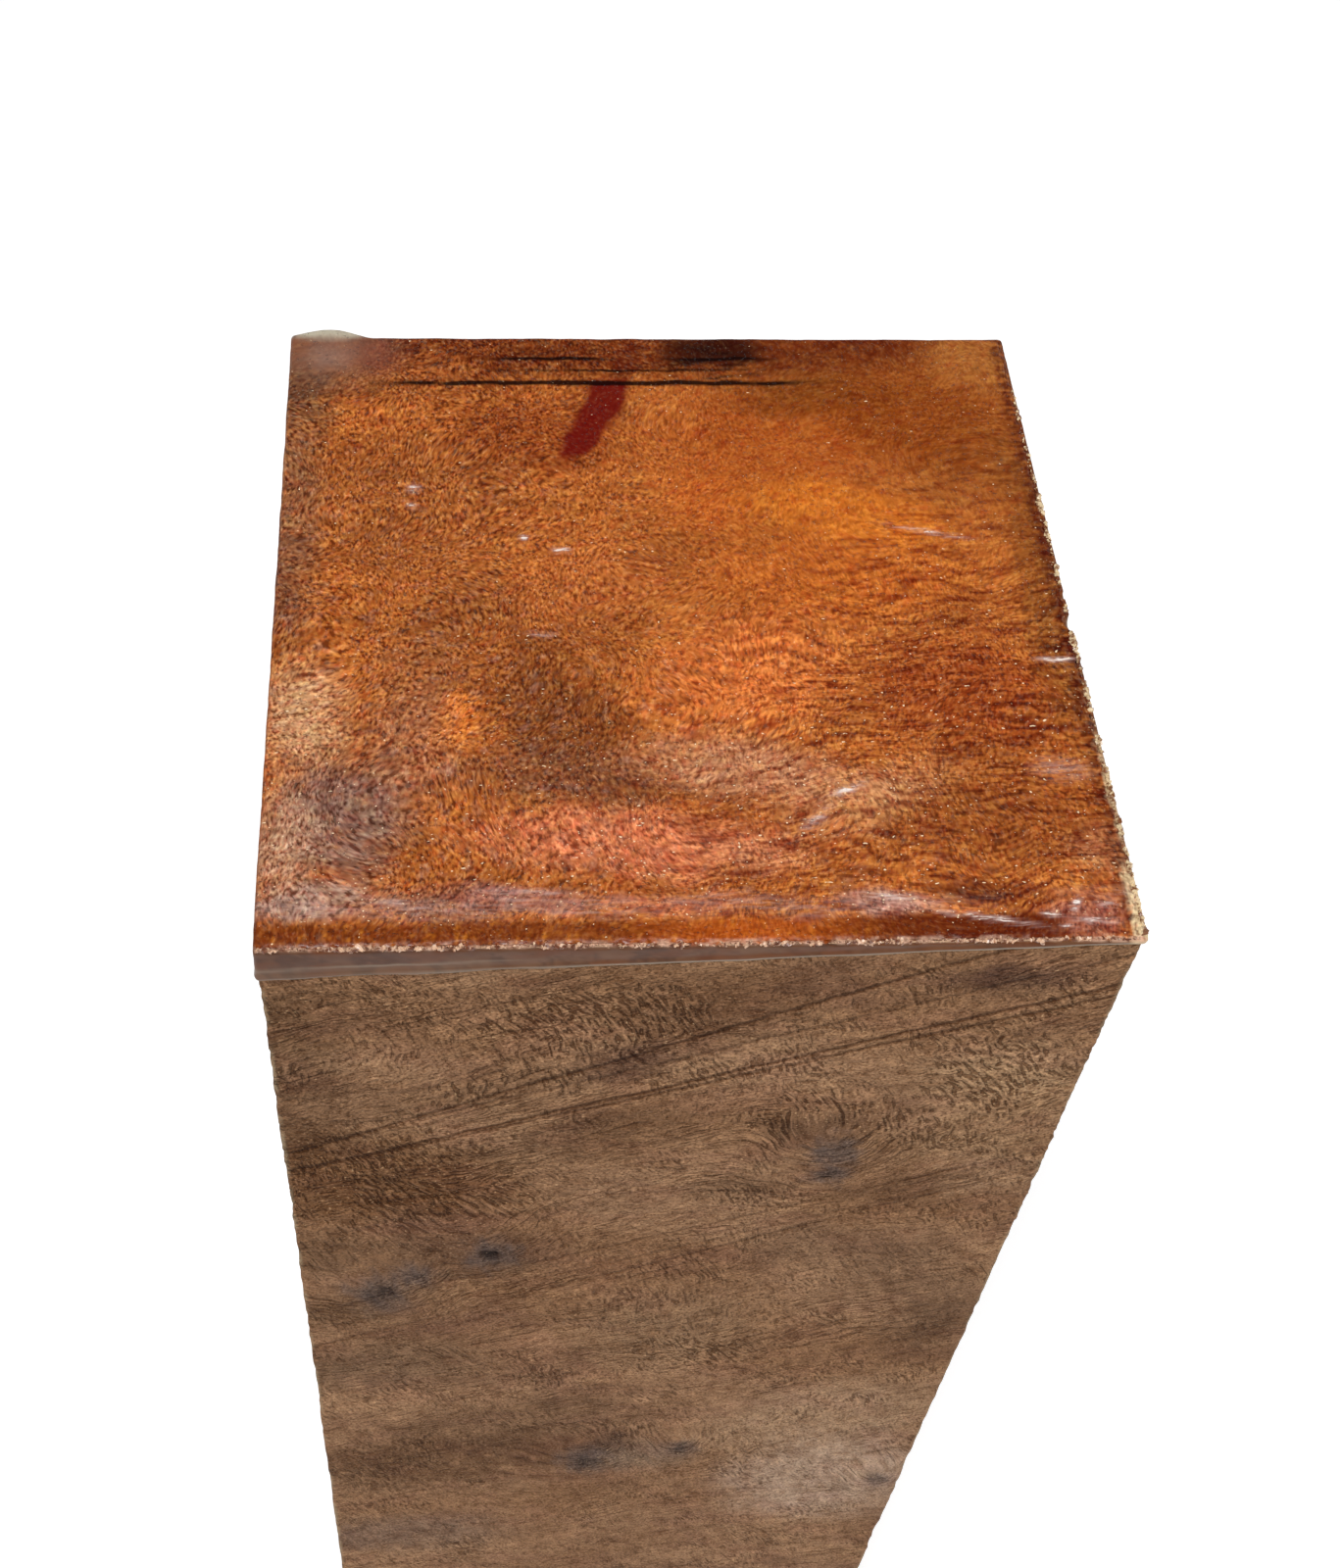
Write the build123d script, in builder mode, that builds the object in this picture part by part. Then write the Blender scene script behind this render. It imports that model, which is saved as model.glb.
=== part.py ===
"""Sawn burl turning blank, standing on end, with both end-grain faces sealed in clear wax.

The row frame has its origin in the middle of the lower sealed end, where the blank stands.
+Z runs up the lathe axis and -Y is the front face. All sizes are millimetres.
"""

import math
import os

from build123d import *

# Sawn stock: 3 x 3 x 12 in
side = 76.2
length = 304.8
arris = 0.5  # break that the saw and handling leave on the long edges

# Wax coat that each end is dipped in
end_coat = 0.5  # on the end grain
side_coat = 0.35  # on the sawn sides
rim_round = 0.4  # how the coat rounds over from the end to the sides

# How far the coat runs down the sides from each sealed end, at the middle of the blank.
# It was dipped a little out of plumb, so one side is deeper: degrees round from +X.
head_dip = 2.75
head_lean = 3.0
head_deep_side = 180.0
foot_dip = 3.4
foot_lean = 2.0
foot_deep_side = 75.0

# Bead where the surplus wax ran off the head at its back left corner: a drop with a round
# head and a tail that thins out along the back
bead_length = 8.2
bead_thick = 4.4
bead_proud = 1.5  # how far it stands out of the coat's back
bead_inset = 3.9  # from the blank's left face to the middle of its round head
bead_drop = 0.15  # of its crown below the sealed end

# Chip broken out of the head's right edge
chip_length = 3.0
chip_depth = 0.8
chip_offset = -1.4  # of its middle from the blank's axis, along Y

head_z = end_coat + length
half_side = side / 2
coated_side = side + 2 * side_coat
coat_corner = arris + side_coat


def chip_scoop(margin):
    """Ball that breaks the chip out of the head's right edge, less a margin that the wax lines it with."""
    chip_radius = (chip_length**2 / 4 + chip_depth**2) / (2 * chip_depth)
    outward = (chip_radius - chip_depth) / math.sqrt(2)
    with BuildPart() as scoop:
        with Locations((half_side + outward, chip_offset, head_z + outward)):
            Sphere(chip_radius - margin)
    return scoop.part


def end_coating(bare_end, dip, lean, deep_side):
    """Wax coat over one end, cut off at the waterline of its dip. The plane faces out of the blank."""
    outward = bare_end.z_dir
    sealed_end = bare_end.offset(end_coat)
    downhill = Vector(1, 0, 0).rotate(Axis.Z, deep_side)
    deepest = dip + math.tan(math.radians(lean)) * coated_side / math.sqrt(2)
    waterline = Plane(
        origin=sealed_end.origin - outward * dip,
        z_dir=outward.rotate(Axis((0, 0, 0), outward.cross(downhill)), lean),
    )
    with BuildPart() as coat:
        with BuildSketch(sealed_end):
            RectangleRounded(coated_side, coated_side, coat_corner)
        extrude(amount=-deepest)
        outer_face = coat.faces().sort_by(Axis((0, 0, 0), outward))[-1]
        fillet(outer_face.edges(), radius=rim_round)
        split(bisect_by=waterline, keep=Keep.TOP)
    return coat.part


# Blank: one piece sawn square out of a burl
with BuildPart() as burl_blank:
    with BuildSketch(Plane.XY.offset(end_coat)):
        RectangleRounded(side, side, arris)
    extrude(amount=length)
    add(chip_scoop(margin=0), mode=Mode.SUBTRACT)

# Head seal: the coat over the upper end, with its bead and the chip that it lines
with BuildPart() as wax_seal_head:
    add(end_coating(Plane.XY.offset(head_z), head_dip, head_lean, head_deep_side))
    bead_radius = bead_thick / 2
    bead_middle = Vector(
        -half_side + bead_inset,
        half_side + side_coat + bead_proud - bead_radius,
        head_z + end_coat - bead_drop - bead_radius,
    )
    tail = bead_length - bead_radius
    tail_start = math.acos(bead_radius / tail)
    with BuildSketch(Plane(bead_middle)):
        with BuildLine():
            round_head = CenterArc((0, 0), bead_radius, 180, math.degrees(tail_start) - 180)
            Polyline(round_head @ 1, (tail, 0), round_head @ 0)
        make_face()
    revolve(axis=Axis(bead_middle, (1, 0, 0)), revolution_arc=360)
    add(chip_scoop(margin=side_coat), mode=Mode.SUBTRACT)
    add(burl_blank.part, mode=Mode.SUBTRACT)

# Foot seal: the coat over the lower end, which the blank stands on
with BuildPart() as wax_seal_foot:
    bare_foot = Plane(origin=(0, 0, end_coat), z_dir=(0, 0, -1))
    add(end_coating(bare_foot, foot_dip, foot_lean, foot_deep_side))
    add(burl_blank.part, mode=Mode.SUBTRACT)

os.makedirs("parts", exist_ok=True)
pieces = {
    "burl_blank": burl_blank,
    "wax_seal_head": wax_seal_head,
    "wax_seal_foot": wax_seal_foot,
}
for name, piece in pieces.items():
    piece.part.label = name
    export_step(piece.part, f"parts/{name}.step")
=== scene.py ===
import math

import bmesh
import bpy
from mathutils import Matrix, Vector


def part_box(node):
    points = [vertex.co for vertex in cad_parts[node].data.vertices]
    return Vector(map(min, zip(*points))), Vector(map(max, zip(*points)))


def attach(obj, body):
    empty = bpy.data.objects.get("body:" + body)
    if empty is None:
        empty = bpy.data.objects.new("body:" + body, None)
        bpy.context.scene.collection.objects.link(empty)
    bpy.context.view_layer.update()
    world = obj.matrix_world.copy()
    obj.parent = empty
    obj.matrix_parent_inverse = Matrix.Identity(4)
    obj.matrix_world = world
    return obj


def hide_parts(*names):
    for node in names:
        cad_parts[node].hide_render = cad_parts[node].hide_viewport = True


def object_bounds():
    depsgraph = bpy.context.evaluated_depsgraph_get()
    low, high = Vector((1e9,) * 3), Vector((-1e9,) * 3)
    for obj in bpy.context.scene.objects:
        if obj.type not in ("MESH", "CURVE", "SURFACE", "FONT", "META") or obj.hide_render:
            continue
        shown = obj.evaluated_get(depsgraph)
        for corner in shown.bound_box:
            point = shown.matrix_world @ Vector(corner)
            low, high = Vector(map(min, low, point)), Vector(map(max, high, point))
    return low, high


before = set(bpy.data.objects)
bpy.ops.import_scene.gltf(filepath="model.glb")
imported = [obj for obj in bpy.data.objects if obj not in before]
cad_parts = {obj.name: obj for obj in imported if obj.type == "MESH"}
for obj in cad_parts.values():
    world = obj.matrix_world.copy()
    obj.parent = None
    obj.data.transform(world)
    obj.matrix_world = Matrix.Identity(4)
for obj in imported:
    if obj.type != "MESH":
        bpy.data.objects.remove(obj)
cad_low, cad_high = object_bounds()
MM = 0.001

# Burl blank. One square length sawn out of a burl. The saw left its long sides rough: short torn grain,
# dark growth lines that climb to the right, and the eyes of dormant buds. Both of its ends go under wax.
wood_low, wood_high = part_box("burl_blank")
half_side = wood_high[0] / MM
wood_foot = wood_low[2] / MM
wood_head = wood_high[2] / MM
head_top = cad_high[2] / MM
arris = 0.5
side_coat = 0.35  # mm of wax on the sides
fine_rings = 56  # mm below the head, where the grain is cut finest
# How each end was dipped: mm down the middle of a side, degrees out of square, and the deepest side
head_dip = (2.75, 3.0, 180.0)
foot_dip = (3.4, 2.0, 75.0)
# Two notches chipped out of the head's right edge: where along it, length and depth in mm
notches = ((-2.2, 2.7, 0.8), (1.3, 1.7, 0.5))

# Eyes: place in mm, the radius of the halo, and how open the pit is
front_eyes = (
    ((-17.5, -38, 243.8), 1.6, 1.0),
    ((-29.5, -38, 234.8), 1.9, 0.8),
    ((-26.0, -38, 238.5), 1.4, 0.3),
    ((16.5, -38, 266.0), 1.5, 0.2),
    ((16.5, -38, 261.6), 1.1, 0.5),
    ((7.5, -38, 184.3), 1.0, 0.6),
    ((-5.0, -38, 180.5), 1.7, 0.7),
    ((35.0, -38, 170.3), 1.0, 0.6),
    ((12.0, -38, 118.0), 1.5, 0.6),
    ((-22.0, -38, 76.0), 1.3, 0.9),
    ((20.0, -38, 38.0), 1.7, 0.5),
)
other_eyes = (
    ((38, -12.0, 252.0), 1.4, 0.8),
    ((38, 17.0, 168.0), 1.8, 0.5),
    ((38, -20.0, 92.0), 1.2, 0.9),
    ((38, 9.0, 34.0), 1.6, 0.4),
    ((14.0, 38, 226.0), 1.7, 0.9),
    ((-20.0, 38, 152.0), 1.3, 0.5),
    ((8.0, 38, 64.0), 1.8, 0.8),
    ((-38, 14.0, 210.0), 1.5, 0.8),
    ((-38, -17.0, 124.0), 1.8, 0.4),
    ((-38, 6.0, 48.0), 1.2, 0.9),
)

# Patches of the front: centre x and depth under the head in mm, radii, turn in degrees, core, amount, colour
front_patches = (
    ((-36, 14), (8, 14), 0, 0.2, 0.6, (100, 74, 54)),
    ((2, 12), (13, 9), -12, 0.2, 0.6, (98, 66, 46)),
    ((27, 7), (9, 4), -8, 0.2, 0.8, (84, 60, 50)),
    ((-20, 26), (22, 7), -18, 0.2, 0.5, (108, 78, 56)),
    ((-5, 20), (8, 4), -20, 0.2, 0.7, (92, 64, 54)),
    ((-31, 43), (20, 13), 0, 0.4, 0.75, (106, 70, 42)),
    ((-36, 34), (8, 9), 0, 0.2, 0.6, (88, 60, 40)),
    ((-9, 35), (16, 6), -22, 0.2, 0.6, (102, 74, 54)),
    ((-35, 24), (7, 7), 0, 0.2, 0.5, (98, 70, 50)),
    ((-36, 60), (8, 8), 0, 0.2, 0.5, (98, 74, 56)),
    ((7, 46), (7, 6), 0, 0.2, 0.5, (106, 78, 58)),
    ((14, 35), (7, 7), 0, 0.2, 0.6, (96, 70, 54)),
    ((31, 32), (15, 20), 0, 0.3, 0.8, (168, 132, 100)),
    ((31, 24), (11, 7), 0, 0.2, 0.8, (180, 144, 110)),
    ((26, 67), (10, 14), 0, 0.2, 0.5, (108, 82, 64)),
    ((27, 47), (9, 5), -30, 0.2, 0.6, (104, 74, 54)),
    ((-6, 48), (10, 9), 0, 0.2, 0.6, (146, 112, 86)),
    ((-22, 62), (18, 10), -10, 0.2, 0.5, (106, 80, 62)),
    ((16, 60), (9, 7), -25, 0.2, 0.5, (112, 86, 68)),
    ((-32, 75), (12, 7), -20, 0.2, 0.6, (104, 76, 54)),
    ((-30, 92), (18, 10), -15, 0.2, 0.6, (108, 84, 66)),
    ((3, 83), (16, 15), 0, 0.2, 0.65, (152, 120, 92)),
    ((34, 80), (10, 14), 0, 0.2, 0.7, (106, 80, 62)),
    ((-12, 110), (26, 11), -8, 0.2, 0.55, (108, 80, 60)),
    ((-24, 124), (26, 15), -8, 0.3, 0.8, (106, 76, 54)),
    ((24, 112), (22, 15), -30, 0.3, 0.9, (178, 144, 114)),
    ((2, 124), (11, 7), -20, 0.2, 0.6, (128, 112, 98)),
    ((-3, 120), (8, 3), -42, 0.2, 0.7, (84, 64, 54)),
    ((28, 134), (19, 22), 0, 0.3, 1.0, (190, 160, 136)),
    ((34, 45), (8, 7), 0, 0.3, 0.6, (164, 130, 102)),
    ((-30, 152), (22, 10), 0, 0.3, 0.6, (142, 118, 102)),
)
# Where the saw tore the front most: centre x and depth under the head in mm, radii
front_tears = (
    ((-26, 45), (20, 15)),
    ((-9, 14), (18, 9)),
    ((13, 32), (11, 9)),
    ((30, 24), (9, 12)),
    ((4, 90), (14, 9)),
)
# Long splits and saw scores on the front: both ends, as x and depth under the head in mm, and the strength
front_scores = (
    ((-28, 37), (-3, 26), 1.2),
    ((-20, 34), (4, 24), 1.0),
    ((-8, 21), (1, 16), 1.1),
    ((-34, 35), (-16, 27), 0.6),
    ((-9, 62), (24, 46), 0.6),
    ((-8, 69), (19, 54), 0.6),
    ((-36, 80), (-12, 68), 0.5),
    ((16, 52), (36, 41), 0.3),
)


def seen(red, green, blue):
    """A colour as the eye sees it, from 0 to 255, in the linear values that a shader takes."""
    return tuple((value / 255) ** 2.2 for value in (red, green, blue)) + (1.0,)


class Field:
    """A number, colour or place at every point of a piece: an output of a node, with sums that add nodes."""

    def __init__(self, tree, output):
        self.tree = tree
        self.output = output

    def node(self, kind, settings, sockets, output=0):
        """Adds a node by its type, its settings and what its sockets take, and gives one of its outputs."""
        made = self.tree.nodes.new(kind)
        for name, value in settings.items():
            setattr(made, name, value)
        for name, value in sockets.items():
            if isinstance(value, Field):
                self.tree.links.new(value.output, made.inputs[name])
            else:
                made.inputs[name].default_value = value
        return Field(self.tree, made.outputs[output])

    def math(self, operation, *values):
        return self.node("ShaderNodeMath", {"operation": operation}, dict(enumerate(values)))

    def __add__(self, other):
        return self.math("ADD", self, other)

    def __sub__(self, other):
        return self.math("SUBTRACT", self, other)

    def __rsub__(self, other):
        return self.math("SUBTRACT", other, self)

    def __mul__(self, other):
        return self.math("MULTIPLY", self, other)

    def __truediv__(self, other):
        return self.math("DIVIDE", self, other)

    __radd__ = __add__
    __rmul__ = __mul__

    def size(self):
        return self.math("ABSOLUTE", self)

    def least(self, other):
        return self.math("MINIMUM", self, other)

    def most(self, other):
        return self.math("MAXIMUM", self, other)

    def rise(self, start, end):
        """0 at start and 1 at end, with a smooth step between them. End may be the smaller."""
        sockets = {"Value": self, "From Min": start, "From Max": end}
        return self.node("ShaderNodeMapRange", {"interpolation_type": "SMOOTHSTEP"}, sockets)

    def near(self, value, reach):
        """1 at the value, falling to 0 at the reach on either side."""
        return (self - value).size().rise(reach, 0)

    def vector(self, operation, *values, output=0):
        sockets = dict(enumerate((self, *values)))
        return self.node("ShaderNodeVectorMath", {"operation": operation}, sockets, output)

    def scaled(self, *factors):
        return self.vector("MULTIPLY", factors if len(factors) == 3 else factors * 3)

    def times(self, amount):
        """A place or a direction times a number that varies."""
        return self.node("ShaderNodeVectorMath", {"operation": "SCALE"}, {0: self, "Scale": amount})

    def axes(self):
        return [self.node("ShaderNodeSeparateXYZ", {}, {"Vector": self}, axis) for axis in range(3)]

    def place(self, x, y, z):
        return self.node("ShaderNodeCombineXYZ", {}, {"X": x, "Y": y, "Z": z})

    def noise(self, sizes, detail=2.0, rough=0.5, output=0):
        """Cloudy noise with lumps of about these sizes along x, y and z, mostly between 0.3 and 0.7."""
        place = self.vector("DIVIDE", sizes)
        sockets = {"Vector": place, "Scale": 1.0, "Detail": detail, "Roughness": rough}
        return self.node("ShaderNodeTexNoise", {}, sockets, output)

    def stirred(self, size, reach):
        """This place, moved about by noise with lumps of that size, by up to about the reach."""
        cloud = self.noise((size,) * 3, detail=1.0, output=1)
        return self.vector("ADD", cloud.vector("SUBTRACT", (0.5, 0.5, 0.5)).scaled(2 * reach))

    def patch(self, centre, radii, turn=0, axis=(0, 0, 1), core=0.0):
        """1 at the middle of an ellipsoid and out to its core, 0 at its surface and beyond."""
        turned = self.node(
            "ShaderNodeVectorRotate",
            {"rotation_type": "AXIS_ANGLE"},
            {"Vector": self, "Center": centre, "Axis": axis, "Angle": math.radians(-turn)},
        )
        inside = turned.vector("SUBTRACT", centre).vector("DIVIDE", radii)
        return inside.vector("LENGTH", output=1).rise(1.0, core)

    def between(self, first, second):
        """The first colour where this is 0, the second where it is 1."""
        return self.node("ShaderNodeMix", {"data_type": "RGBA"}, {0: self, 6: first, 7: second}, 2)

    def tinted(self, amount, colour):
        return self.node("ShaderNodeMix", {"data_type": "RGBA"}, {0: amount, 6: self, 7: colour}, 2)


def shape_with(piece, work):
    """Runs Geometry Nodes on a piece. From place and normal, work() finds how far each point moves in mm and
    the figures that the material reads, which are stored on the points."""
    tree = bpy.data.node_groups.new(piece.name + "_figure", "GeometryNodeTree")
    tree.interface.new_socket("Mesh", in_out="INPUT", socket_type="NodeSocketGeometry")
    tree.interface.new_socket("Mesh", in_out="OUTPUT", socket_type="NodeSocketGeometry")
    mesh = Field(tree, tree.nodes.new("NodeGroupInput").outputs[0])
    place = Field(tree, tree.nodes.new("GeometryNodeInputPosition").outputs[0]).scaled(1 / MM)
    normal = Field(tree, tree.nodes.new("GeometryNodeInputNormal").outputs[0])
    shift, figures = work(place, normal)
    for name, value in figures.items():
        sockets = {"Geometry": mesh, "Name": name, "Value": value}
        mesh = mesh.node("GeometryNodeStoreNamedAttribute", {"data_type": "FLOAT_VECTOR"}, sockets)
    mesh = mesh.node("GeometryNodeSetPosition", {}, {"Geometry": mesh, "Offset": shift.scaled(MM)})
    tree.links.new(mesh.output, tree.nodes.new("NodeGroupOutput").inputs[0])
    piece.modifiers.new("figure", "NODES").node_group = tree
    bpy.context.view_layer.objects.active = piece
    bpy.ops.object.modifier_apply(modifier="figure")


def start_block(name, low, high, edge):
    """Adds a block between two corners in mm, rounds every edge and stays in edit mode."""
    bpy.ops.object.select_all(action="DESELECT")
    centre = tuple((a + b) / 2 * MM for a, b in zip(low, high))
    size = tuple((b - a) * MM for a, b in zip(low, high))
    bpy.ops.mesh.primitive_cube_add(size=1, location=centre, scale=size)
    block = bpy.context.object
    block.name = block.data.name = name
    bpy.ops.object.transform_apply(location=True, rotation=True, scale=True)
    bpy.ops.object.mode_set(mode="EDIT")
    bpy.ops.mesh.bevel(offset=edge * MM, segments=3, affect="EDGES")
    return block


def select(block, kind, test):
    """Selects the faces or edges that pass a test, and nothing else, on a block in edit mode."""
    bpy.ops.mesh.select_all(action="DESELECT")
    bpy.ops.mesh.select_mode(type="FACE" if kind == "faces" else "EDGE")
    shape = bmesh.from_edit_mesh(block.data)
    for part in getattr(shape, kind):
        if test(part):
            part.select_set(True)
    bmesh.update_edit_mesh(block.data)


def cut_along(block, axis, cuts, low=1.0, high=1000.0):
    """Cuts every edge that runs mostly along an axis and whose length in mm lies between low and high."""
    def runs_along(edge):
        run = edge.verts[1].co - edge.verts[0].co
        return low * MM <= run.length <= high * MM and abs(run[axis]) > 0.9 * run.length

    select(block, "edges", runs_along)
    bpy.ops.mesh.subdivide(number_cuts=cuts)


def is_end(face):
    return abs(face.normal.z) > 0.99 and face.calc_area() > (10 * MM) ** 2


def growth(place):
    """How the wood grew at a place: the place along, across and into its growth lines in mm, how far off the
    nearest eye is, in radii of its halo, and how deep the place lies in an open pit, from 0 to 1."""
    nearest = None
    pit = None
    place = place.stirred(2.6, 0.5)
    cloud = place.noise((1.3, 1.3, 1.8), detail=4.0, rough=0.75) - 0.5
    for centre, radius, openness in front_eyes + other_eyes:
        away = place.vector("SUBTRACT", centre).vector("DIVIDE", (radius, radius, radius * 1.3))
        away = away.vector("LENGTH", output=1)
        opened = (away + cloud * 2.6).rise(0.95, 0.4) * openness
        nearest = away if nearest is None else nearest.least(away)
        pit = opened if pit is None else pit.most(opened)
    x, y, z = place.stirred(34, 5).stirred(8, 0.8).axes()
    across = z * 0.93 - x * 0.37 + y * 0.3 + nearest.rise(8, 0) * 7
    along = x * 0.93 + z * 0.37 + y * 0.8
    return place.place(along, across, y), nearest + cloud * 5.0, pit


def side_tone(place, flow, eye, pit):
    """The colour of the sawn sides, down to figures of about a millimetre."""
    warm = place.noise((26, 26, 20), detail=1.0).rise(0.35, 0.65)
    tone = warm.between(seen(152, 114, 84), seen(168, 130, 99))
    dull = place.noise((17, 17, 12), detail=2.0, rough=0.6).rise(0.5, 0.72)
    tone = tone.tinted(dull * 0.6, seen(118, 84, 66))
    front = place.axes()[1].rise(-30, -37)
    soft = place.stirred(9, 3).stirred(3, 1.0)
    ragged = (flow.noise((2.6, 1.0, 5), detail=4.0, rough=0.7) - 0.5) * 2.8 + 1.0
    for (x, depth), (long, tall), turn, core, amount, colour in front_patches:
        shade = soft.patch((x, -38, head_top - depth), (long, 30, tall), turn, (0, 1, 0), core) * ragged
        tone = tone.tinted(shade.least(1.0) * front * amount, seen(*colour))
    bands = flow.noise((30, 2.2, 22), detail=4.0, rough=0.7)
    faded = 1.0 - soft.patch((24, -38, head_top - 14), (34, 9, 24), core=0.6) * 0.85
    dark_bands = bands.rise(0.5, 0.7) * (0.75 - front * 0.3) * faded
    tone = tone.tinted(dark_bands, tone.scaled(0.42, 0.32, 0.25))
    tone = tone.tinted(bands.rise(0.46, 0.3) * 0.35, tone.scaled(1.5, 1.5, 1.5))
    blotch = place.noise((2.2, 2.2, 1.7), detail=3.0, rough=0.65)
    tone = tone.tinted(blotch.rise(0.5, 0.68) * 0.5, tone.scaled(0.5, 0.4, 0.33))
    tone = tone.tinted(blotch.rise(0.48, 0.32) * 0.45, tone.scaled(1.4, 1.42, 1.38))
    mauve = place.noise((7, 7, 4), detail=2.0).rise(0.5, 0.64) * 0.35
    tone = tone.tinted(mauve, tone.scaled(0.98, 0.88, 0.98))
    tone = tone.tinted(eye.rise(2.8, 0.6) * 0.7, seen(98, 88, 86))
    return tone.tinted(pit * 0.95, seen(34, 24, 22))


def over_line(place, up, end, dip, lean, deep_side):
    """How far a place lies past a dip line, towards the sealed end, in mm. The dip is deepest on one side."""
    slope = math.tan(math.radians(lean))
    x, y, z = place.axes()
    turn = math.radians(deep_side)
    downhill = x * (slope * math.cos(turn)) + y * (slope * math.sin(turn))
    return z * up - up * end + dip + downhill


def over_head_line(place):
    return over_line(place, 1, head_top, *head_dip)


def over_foot_line(place):
    return over_line(place, -1, 0, *foot_dip)


def scooped(place, lining):
    """How far a place in a notch's ball moves to lie on the ball, or short of it by the lining of wax."""
    moved = place.scaled(0.0)
    for middle, long, deep in notches:
        radius = (long**2 / 4 + deep**2) / (2 * deep)
        out = (radius - deep) / math.sqrt(2)
        away = place.vector("SUBTRACT", (half_side + out, middle, wood_head + out))
        inside = (radius - lining - away.vector("LENGTH", output=1)).most(0.0)
        moved = moved.vector("ADD", away.vector("NORMALIZE").times(inside))
    return moved


def saw_and_tear(place, normal):
    flow, eye, pit = growth(place)
    bare = over_head_line(place).rise(0, -1.2) * over_foot_line(place).rise(0, -1.2)
    waves = place.noise((30, 30, 14), detail=1.0) - 0.58
    rough = flow.noise((3, 1.2, 3), detail=3.0, rough=0.6) - 0.58
    torn = flow.noise((1.2, 2.6, 3), detail=2.0).rise(0.5, 0.72)
    height = (waves * 0.5 + rough * 0.5 - torn * 0.12 - pit * 0.4).least(0.0) * bare
    shift = normal.times(height).vector("ADD", scooped(place, 0.0))
    upright = place.noise((12, 12, 8), detail=1.0).rise(0.34, 0.5) * eye.rise(1.5, 5)
    roughest = place.noise((9, 9, 7), detail=2.0, rough=0.6).rise(0.4, 0.7) * 0.8
    soft = place.stirred(7, 3)
    for (x, depth), (long, tall) in front_tears:
        roughest = roughest.most(soft.patch((x, -38, head_top - depth), (long, 9, tall), core=0.4))
    upper_right = soft.patch((24, -38, head_top - 14), (34, 9, 24), core=0.6)
    lined = flow.noise((11, 5, 9)).rise(0.44, 0.58) * (1.0 - upper_right * 0.85)
    marks = place.place(upright, roughest, lined)
    curled = flow.stirred(3.0, 0.5)
    return shift, {"tone": side_tone(place, flow, eye, pit), "flow": curled, "marks": marks}


lowest = (-half_side, -half_side, wood_foot)
blank = start_block("burl_blank_sawn", lowest, (half_side, half_side, wood_head), arris)
select(blank, "faces", is_end)
bpy.ops.mesh.delete(type="FACE")
bpy.ops.mesh.select_all(action="SELECT")
bpy.ops.mesh.bisect(plane_co=(0, 0, (wood_head - fine_rings) * MM), plane_no=(0, 0, 1))
cut_along(blank, 0, 10, 10)
cut_along(blank, 0, 9, 5)
cut_along(blank, 1, 8, 10)
cut_along(blank, 1, 7, 5)
cut_along(blank, 2, 10, 10, fine_rings + 5)
cut_along(blank, 2, 9, 4, fine_rings / 9)
cut_along(blank, 2, 11, 100)
cut_along(blank, 2, 11, 10)
bpy.ops.mesh.select_all(action="SELECT")
bpy.ops.mesh.region_to_loop()
bpy.ops.mesh.edge_face_add()
bpy.ops.object.mode_set(mode="OBJECT")
shape_with(blank, saw_and_tear)
bpy.ops.object.shade_smooth_by_angle(angle=math.radians(50))


def material(name, *stored):
    """A new material, its shader, the place in mm, and the named figures that are stored on the points."""
    made = bpy.data.materials.new(name)
    made.use_nodes = True
    tree = made.node_tree
    shader = next(node for node in tree.nodes if node.type == "BSDF_PRINCIPLED")
    place = Field(tree, tree.nodes.new("ShaderNodeTexCoord").outputs["Object"]).scaled(1 / MM)
    figures = [place.node("ShaderNodeAttribute", {"attribute_name": figure}, {}, 1) for figure in stored]
    return made, shader, place, *figures


def feed(shader, sockets):
    """Links fields to a shader's sockets by their names."""
    for name, field in sockets.items():
        field.tree.links.new(field.output, shader.inputs[name])


def relief(height):
    """The bent normal of fine relief, from its height in mm."""
    return height.node("ShaderNodeBump", {}, {"Distance": MM, "Height": height})


def score(place, start, end, width):
    """1 along the middle of a tapered line on the front, between two ends as x and depth under the head."""
    (x0, d0), (x1, d1) = start, end
    run = math.hypot(x1 - x0, d1 - d0)
    cos, sin = (x1 - x0) / run, (d0 - d1) / run
    x, _, z = place.axes()
    right = x - x0
    above = z - (head_top - d0)
    along = (right * cos + above * sin) / run
    off = (above * cos - right * sin).size()
    return off.rise(width, 0.0) * along.near(0.5, 0.5).math("SQRT")


sawn, shader, place, tone, flow, marks = material("sawn_burl", "tone", "flow", "marks")
upright, roughest, lined = marks.axes()
level_strokes = flow.noise((1.7, 0.33, 0.9), detail=0.0)
upright_strokes = flow.noise((0.34, 1.4, 0.9), detail=0.0)
dust = place.noise((0.29, 0.29, 0.27), detail=1.0)
tufts = flow.noise((1.1, 0.8, 1.0), detail=2.0, rough=0.65)
strokes = level_strokes + (upright_strokes - level_strokes) * upright + (dust - 0.5) * 0.2
torn = (strokes + roughest * 0.1).rise(0.66, 0.75) * (roughest * 0.7 + 0.3)
lines = flow.noise((24, 1.5, 14), detail=1.0).near(0.5, 0.03) * lined * 0.5
x, y = place.axes()[:2]
wavy = place.vector("ADD", place.place(0.0, 0.0, (flow.axes()[1] * 0.9).math("SINE") * 0.12))
scores = None
for start, end, strength in front_scores:
    line = score(wavy, start, end, 0.5) * strength
    scores = line if scores is None else scores.most(line)
lines = lines.most(scores * y.rise(-36, -37))
dark = tone.scaled(0.27, 0.18, 0.12)
pale = tone.vector("MULTIPLY_ADD", (1.4, 1.34, 1.25), (0.085, 0.06, 0.042))
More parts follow.
